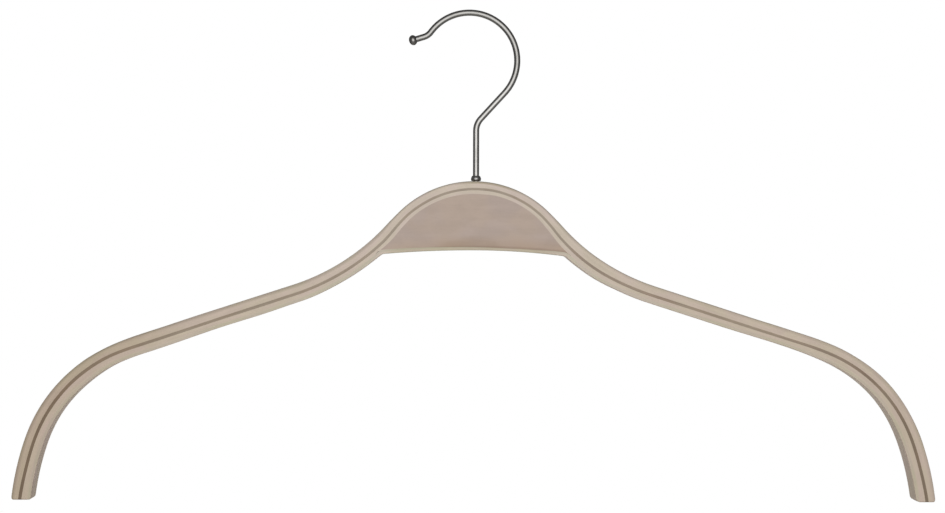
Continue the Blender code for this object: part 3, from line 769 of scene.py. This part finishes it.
# The scales of the streaks, the flecks, the drift and the clouds, each along X, Y and Z.
BLOCK_SCALES = ((60.0, 700.0, 900.0), (420.0, 1500.0, 1700.0), (55.0, 60.0, 90.0), (80.0, 120.0, 190.0))
BLOCK_DEPTHS = (0.014, 0.05, 0.03)
RING_TONE = (0.88, 0.86, 0.83)
RING_SHARE = 0.5
BOTTOM_TONE = (0.95, 0.905, 0.83)
BOTTOM_BAND = (2.0 * MM, 8.5 * MM)      # how far above the underside it is full and gone
GLUE_TONE = (0.83, 0.81, 0.80)
GLUE_BAND = (1.6 * MM, 2.6 * MM)
DROOP_RADIUS = 420.0 * MM      # both bands follow the underside's arch
BAND_FADE = (-42.0 * MM, -12.0 * MM)    # both are faint on the left
BAND_LEFT_SHARE = 0.3
LENS_MIDDLE = -3.0 * MM
LENS_TOP = 6.8 * MM            # above the underside
LENS_SOFT = 1.8 * MM           # its outline fades over this, inside and outside
LENS_HALF = 16.0 * MM
LENS_HEIGHT = 4.2 * MM         # how much lower its outline is at LENS_HALF from its middle
WOBBLE = 1.2 * MM              # the most that the clouds bring its outline down


def block_half(side):
    """Stack the block's upright sections between the two glue lines, down to nothing at its end."""
    x, z, lean, _ = underside(side)
    top_x, top_z = bow_point(search, settled(lower_level - relief(search), search, side))
    glue_x = x + ply_height(side, x) * np.sin(lean)
    glue_z = z + ply_height(side, x) * np.cos(lean)
    end_x = glue_x[np.flatnonzero(np.interp(glue_x, top_x, top_z) > glue_z)[-1]]
    across = np.sin(np.linspace(0, np.pi / 2, BLOCK_STATIONS)) * end_x
    upper = np.interp(across, top_x, top_z)
    lower = np.minimum(np.interp(across, glue_x, glue_z), upper)
    z = upper[:, None] + (lower - upper)[:, None] * np.linspace(0, 1, BLOCK_ROWS)
    return around_board(np.broadcast_to(across[:, None], z.shape), z, half_board)


block = skin("block", both_halves(block_half))
bore(block, BORE_DIAMETER, shoulder_z - OVERCUT, crown_z + OVERCUT)
bore(block, COUNTERBORE_DIAMETER, underside_z - OVERCUT, shoulder_z)
soften(block)

block_wood = bpy.data.materials.new("block_beech")
block_wood.use_nodes = True
tree = block_wood.node_tree
place = node(tree, "TexCoord").outputs["Object"]
colour, figure = beech(tree, place, BLOCK_SCALES, BLOCK, BLOCK_WARM, BLOCK_DEPTHS)
along_x, _, height = node(tree, "SeparateXYZ", {"Vector": place}).outputs
over_underside = calculate(tree, "SUBTRACT", height, float(underside_z))
wobble = calculate(tree, "MULTIPLY", figure["Clouds"], WOBBLE)
from_middle = calculate(tree, "MULTIPLY", calculate(tree, "SUBTRACT", along_x, LENS_MIDDLE), 1 / LENS_HALF)
arch = calculate(tree, "MULTIPLY", calculate(tree, "MULTIPLY", from_middle, from_middle), LENS_HEIGHT)
over_lens = calculate(tree, "ADD", calculate(tree, "ADD", over_underside, wobble), arch)
in_lens = ramp(tree, over_lens, LENS_TOP - LENS_SOFT, LENS_TOP + LENS_SOFT, RING_SHARE, 0.0)
droop = calculate(tree, "MULTIPLY", calculate(tree, "MULTIPLY", along_x, along_x), 1 / (2 * DROOP_RADIUS))
over_band = calculate(tree, "ADD", over_underside, droop)
colour = mix(tree, colour, RING_TONE, in_lens, "MULTIPLY")
for tone, band in ((BOTTOM_TONE, BOTTOM_BAND), (GLUE_TONE, GLUE_BAND)):
    in_band = calculate(tree, "MULTIPLY", ramp(tree, over_band, *band, 1.0, 0.0),
                        ramp(tree, along_x, *BAND_FADE, BAND_LEFT_SHARE, 1.0))
    colour = mix(tree, colour, tone, in_band, "MULTIPLY")
raw_wood(tree, colour, figure["Streaks"])
block.data.materials.append(block_wood)
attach(block, "bow")
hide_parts("centre_block")

# The hook is one length of 3 mm steel wire, bent cold. Its foot is upset to a head under the washer, and
# its free end to a small ball, so that it doesn't scratch.
WIRE_DIAMETER = 3.0 * MM
LEAN_RADIUS = 8.75 * MM
LEAN_TURN = np.radians(42.5)
LEG_LENGTH = 16.9 * MM
HOOK_RADIUS = 23.2 * MM
HOOK_TURN = np.radians(186.1)
LIP_RADIUS = 6.5 * MM
LIP_TURN = np.radians(36.6)
LIP_LENGTH = 5.5 * MM
BALL_WIDTH = 4.95 * MM
BALL_LENGTH = 4.0 * MM
BALL_FLAT = 0.8 * MM           # across the flat on its end
HEAD_DIAMETER = 5.5 * MM
HEAD_HEIGHT = 1.5 * MM
HEAD_DOME = 0.4 * MM           # the rounding of its lower edge
HEAD_EASING = 0.3 * MM         # and of its upper edge
WIRE_STEP = 0.4 * MM
WIRE_SIDES = 32
DOME_STEPS = 8
EASING_STEPS = 6
BALL_STEPS = 20

wire = WIRE_DIAMETER / 2
ring_across = (LEAN_RADIUS * (1 - np.cos(LEAN_TURN)) + LEG_LENGTH * np.sin(LEAN_TURN)
               - HOOK_RADIUS * np.cos(LEAN_TURN))
ring_rise = (LEAN_RADIUS + HOOK_RADIUS) * np.sin(LEAN_TURN) + LEG_LENGTH * np.cos(LEAN_TURN)
ring_z = -np.sqrt((HOOK_RADIUS - wire) ** 2 - ring_across ** 2)
lean_start_z = ring_z - ring_rise
foot_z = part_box("hook_wire")[0].z
hook_bends = (                  # length and signed curvature of each stretch, from the foot to the lip
    (lean_start_z - foot_z, 0.0),                   # the upright shank
    (LEAN_RADIUS * LEAN_TURN, -1 / LEAN_RADIUS),    # the bend that leans the leg to the right
    (LEG_LENGTH, 0.0),
    (HOOK_RADIUS * HOOK_TURN, 1 / HOOK_RADIUS),     # the ring that hangs on the rail
    (LIP_RADIUS * LIP_TURN, -1 / LIP_RADIUS),       # the lip's bend back
    (LIP_LENGTH + BALL_LENGTH / 2, 0.0),
)

# The path goes on from the end of each stretch. One that turns by t over a length l has the chord
# l times sin(t/2) / (t/2), at its mean heading.
x = 0.0
z = foot_z
heading = np.pi / 2
pieces = []
for length, bend in hook_bends:
    along = np.linspace(0, length, max(2, int(length / WIRE_STEP)), endpoint=False)
    chord = along * np.sinc(along * bend / (2 * np.pi))
    middle = heading + along * bend / 2
    pieces.append(np.stack([x + chord * np.cos(middle), z + chord * np.sin(middle), heading + along * bend]))
    chord = length * np.sinc(length * bend / (2 * np.pi))
    x += chord * np.cos(heading + length * bend / 2)
    z += chord * np.sin(heading + length * bend / 2)
    heading += length * bend
wire_length = sum(length for length, bend in hook_bends)
path = np.concatenate(pieces, axis=1)
run = np.concatenate([[0.0], np.cumsum(np.hypot(*np.diff(path[:2], axis=1)))])

# Rows along the wire: dense over the head and the ball, where its radius changes.
head = HEAD_DIAMETER / 2
dome = np.linspace(0, np.pi / 2, DOME_STEPS)
head_runs = HEAD_DOME * (1 - np.cos(dome))
head_radii = head - HEAD_DOME + HEAD_DOME * np.sin(dome)
easing = np.linspace(0, np.pi / 2, EASING_STEPS)
easing_runs = HEAD_HEIGHT - HEAD_EASING * (1 - np.sin(easing))
easing_radii = head - HEAD_EASING * (1 - np.cos(easing))
ball_angle = np.linspace(np.arcsin(WIRE_DIAMETER / BALL_WIDTH), np.pi - np.arcsin(BALL_FLAT / BALL_WIDTH),
                         BALL_STEPS)
ball_runs = wire_length - BALL_LENGTH / 2 - BALL_LENGTH / 2 * np.cos(ball_angle)
ball_radii = BALL_WIDTH / 2 * np.sin(ball_angle)
plain_runs = run[(run > HEAD_HEIGHT + WIRE_STEP / 2) & (run < ball_runs[0] - WIRE_STEP / 2)]
rows = np.concatenate([head_runs, easing_runs, [HEAD_HEIGHT], plain_runs, ball_runs])
radii = np.concatenate([head_radii, easing_radii, [wire], np.full(len(plain_runs), wire), ball_radii])
row_x, row_z, row_heading = (np.interp(rows, run, values) for values in path)
past_end = np.maximum(rows - run[-1], 0)
row_x += past_end * np.cos(heading)
row_z += past_end * np.sin(heading)
around = np.linspace(0, 2 * np.pi, WIRE_SIDES, endpoint=False)
outward = radii[:, None] * np.cos(around)
sideways = radii[:, None] * np.sin(around)
rings = np.stack([row_x[:, None] - outward * np.sin(row_heading)[:, None], sideways,
                  row_z[:, None] + outward * np.cos(row_heading)[:, None]], axis=-1)
hook = skin("hook", rings)
straightened = np.stack([np.broadcast_to(rows[:, None], outward.shape), outward, sideways], axis=-1)
attribute = hook.data.attributes.new("grain", "FLOAT_VECTOR", "POINT")
attribute.data.foreach_set("vector", straightened.astype(np.float32).ravel())
soften(hook)

# Steel: drawn wire, satin bright, with fine lines along its length and faint handling marks. The ring and the
# lip are darkened by painted shade, and the ball, where the wire was upset, is darker still.
STEEL = (0.330, 0.323, 0.311)
STEEL_DULL = (0.300, 0.293, 0.280)
# Painted shade: the ring and the lip are made darker than the shank, past the leg.
HOOK_SHADE_TONE = (0.78, 0.78, 0.775)
HOOK_SHADE_FADE = (72.0 * MM, 90.0 * MM)   # from the foot, where it begins and is full
BALL_TONE = (0.92, 0.91, 0.90)
BALL_FADE = 0.3 * MM                    # to either side of where the ball begins
STEEL_EDGE = (0.08, 0.08, 0.08, 1.0)
STEEL_ROUGHNESS = (0.19, 0.25)          # where the draw lines are lowest and highest
DRAW_SCALE = (90.0, 5200.0, 5200.0)
DRAW_DETAIL = 3.0
DRAW_RANGE = (0.3, 0.7)                 # the noise values of the lowest and highest
DRAW_BUMP_STRENGTH = 0.15
DRAW_BUMP_HEIGHT = 0.01 * MM
MARK_SCALE = (260.0, 420.0, 420.0)
MARK_DETAIL = 4.0
MARK_RANGE = (0.42, 0.7)                # the noise values at which a mark begins and is full
MARK_ROUGHNESS = 0.05


def steel_finish(name, place_of, bright, dull, tones=()):
    """Make satin steel, bright and in places dull, with draw lines along X of the place that place_of reads.

    Each of the tones is a colour and the runs along X at which it begins and is full.
    """
    material = bpy.data.materials.new(name)
    material.use_nodes = True
    tree = material.node_tree
    shader = tree.nodes["Principled BSDF"]
    place = place_of(tree)
    lines = noise(tree, place, DRAW_SCALE, DRAW_DETAIL)
    marked = ramp(tree, noise(tree, place, MARK_SCALE, MARK_DETAIL), *MARK_RANGE)
    colour = mix(tree, bright, dull, marked)
    run = node(tree, "SeparateXYZ", {"Vector": place}).outputs["X"]
    for tone, begins, full in tones:
        colour = mix(tree, colour, tone, ramp(tree, run, begins, full), "MULTIPLY")
    tree.links.new(colour, shader.inputs["Base Color"])
    rough = calculate(tree, "ADD", ramp(tree, lines, *DRAW_RANGE, *STEEL_ROUGHNESS),
                      calculate(tree, "MULTIPLY", marked, MARK_ROUGHNESS))
    tree.links.new(rough, shader.inputs["Roughness"])
    shader.inputs["Metallic"].default_value = 1.0
    shader.inputs["Specular Tint"].default_value = STEEL_EDGE
    bump = node(tree, "Bump", {"Strength": DRAW_BUMP_STRENGTH, "Distance": DRAW_BUMP_HEIGHT, "Height": lines})
    tree.links.new(bump.outputs["Normal"], shader.inputs["Normal"])
    return material


def along_wire(tree):
    """Read the straightened wire's own place."""
    return node(tree, "Attribute", attribute_name="grain").outputs["Vector"]


ball_from = float(ball_runs[0])
hook_tones = [(HOOK_SHADE_TONE, *HOOK_SHADE_FADE), (BALL_TONE, ball_from - BALL_FADE, ball_from + BALL_FADE)]
hook.data.materials.append(steel_finish("drawn_steel", along_wire, STEEL, STEEL_DULL, hook_tones))
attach(hook, "hook")
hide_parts("hook_wire")

# The collar is a bead pressed on the wire, widest low down. It rests on the crown and hides the bore's mouth.
# Its steel is darker than the wire's.
COLLAR_TOP_END = 1.85 * MM     # its radius at the top
COLLAR_FOOT_END = 2.2 * MM     # and at the foot
COLLAR_WIDEST_SHARE = 0.38     # of its height, from below
COLLAR_POWER = 1.68            # its radius falls off by this power of the way to either end
COLLAR_ROWS = 25
COLLAR_STEEL = (0.292, 0.286, 0.280)
COLLAR_DULL = (0.256, 0.250, 0.244)
TURNED_SIDES = 96


def turned(name, radii, heights, material, body, cad_node):
    """Turn a closed profile of radii and heights about the shank's axis, with its outer side going down."""
    around = np.linspace(0, 2 * np.pi, TURNED_SIDES, endpoint=False)
    x = radii[:, None] * np.cos(around)
    y = radii[:, None] * np.sin(around)
    z = np.broadcast_to(heights[:, None], x.shape)
    index = np.arange(x.size).reshape(x.shape)
    below = np.roll(index, -1, axis=0)
    faces = np.stack([index, below, np.roll(below, -1, axis=1), np.roll(index, -1, axis=1)], axis=-1)
    mesh = bpy.data.meshes.new(name)
    mesh.from_pydata(np.stack([x, y, z], axis=-1).reshape(-1, 3).tolist(), [], faces.reshape(-1, 4).tolist())
    piece = bpy.data.objects.new(name, mesh)
    bpy.context.scene.collection.objects.link(piece)
    soften(piece)
    mesh.materials.append(material)
    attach(piece, body)
    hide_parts(cad_node)


def beside_shank(tree):
    """Read the place in the object, for a piece that lies on the shank's axis."""
    return node(tree, "TexCoord").outputs["Object"]


collar_steel = steel_finish("collar_steel", beside_shank, COLLAR_STEEL, COLLAR_DULL)
bore_radius = BORE_DIAMETER / 2
collar_low, collar_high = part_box("hook_collar")
collar_radius = (collar_high.x - collar_low.x) / 2
widest_z = collar_low.z + COLLAR_WIDEST_SHARE * (collar_high.z - collar_low.z)
over_widest = np.linspace(1, -1, COLLAR_ROWS)
ends = np.where(over_widest > 0, COLLAR_TOP_END, COLLAR_FOOT_END)
reaches = np.where(over_widest > 0, collar_high.z - widest_z, widest_z - collar_low.z)
falls = (collar_radius - ends) * np.abs(over_widest) ** COLLAR_POWER
radii = np.concatenate([[bore_radius], collar_radius - falls, [bore_radius]])
heights = np.concatenate([[collar_high.z], widest_z + reaches * over_widest, [collar_low.z]])
turned("collar", radii, heights, collar_steel, "hook", "hook_collar")

# The washer is stamped from steel sheet, with a slight round on its edges. It lies loose on the wire between
# the head and the block, and spreads the head's load.
WASHER_EDGE = 0.12 * MM
WASHER_EDGE_STEPS = 6
washer_low, washer_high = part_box("retaining_washer")
washer_radius = (washer_high.x - washer_low.x) / 2
edge = np.linspace(0, np.pi / 2, WASHER_EDGE_STEPS)
radii = np.concatenate([[bore_radius], washer_radius - WASHER_EDGE * (1 - np.sin(edge)),
                        washer_radius - WASHER_EDGE * (1 - np.cos(edge)), [bore_radius]])
heights = np.concatenate([[washer_high.z], washer_high.z - WASHER_EDGE * (1 - np.cos(edge)),
                          washer_low.z + WASHER_EDGE * (1 - np.sin(edge)), [washer_low.z]])
washer_steel = steel_finish("washer_steel", beside_shank, STEEL, STEEL_DULL)
turned("washer", radii, heights, washer_steel, "bow", "retaining_washer")
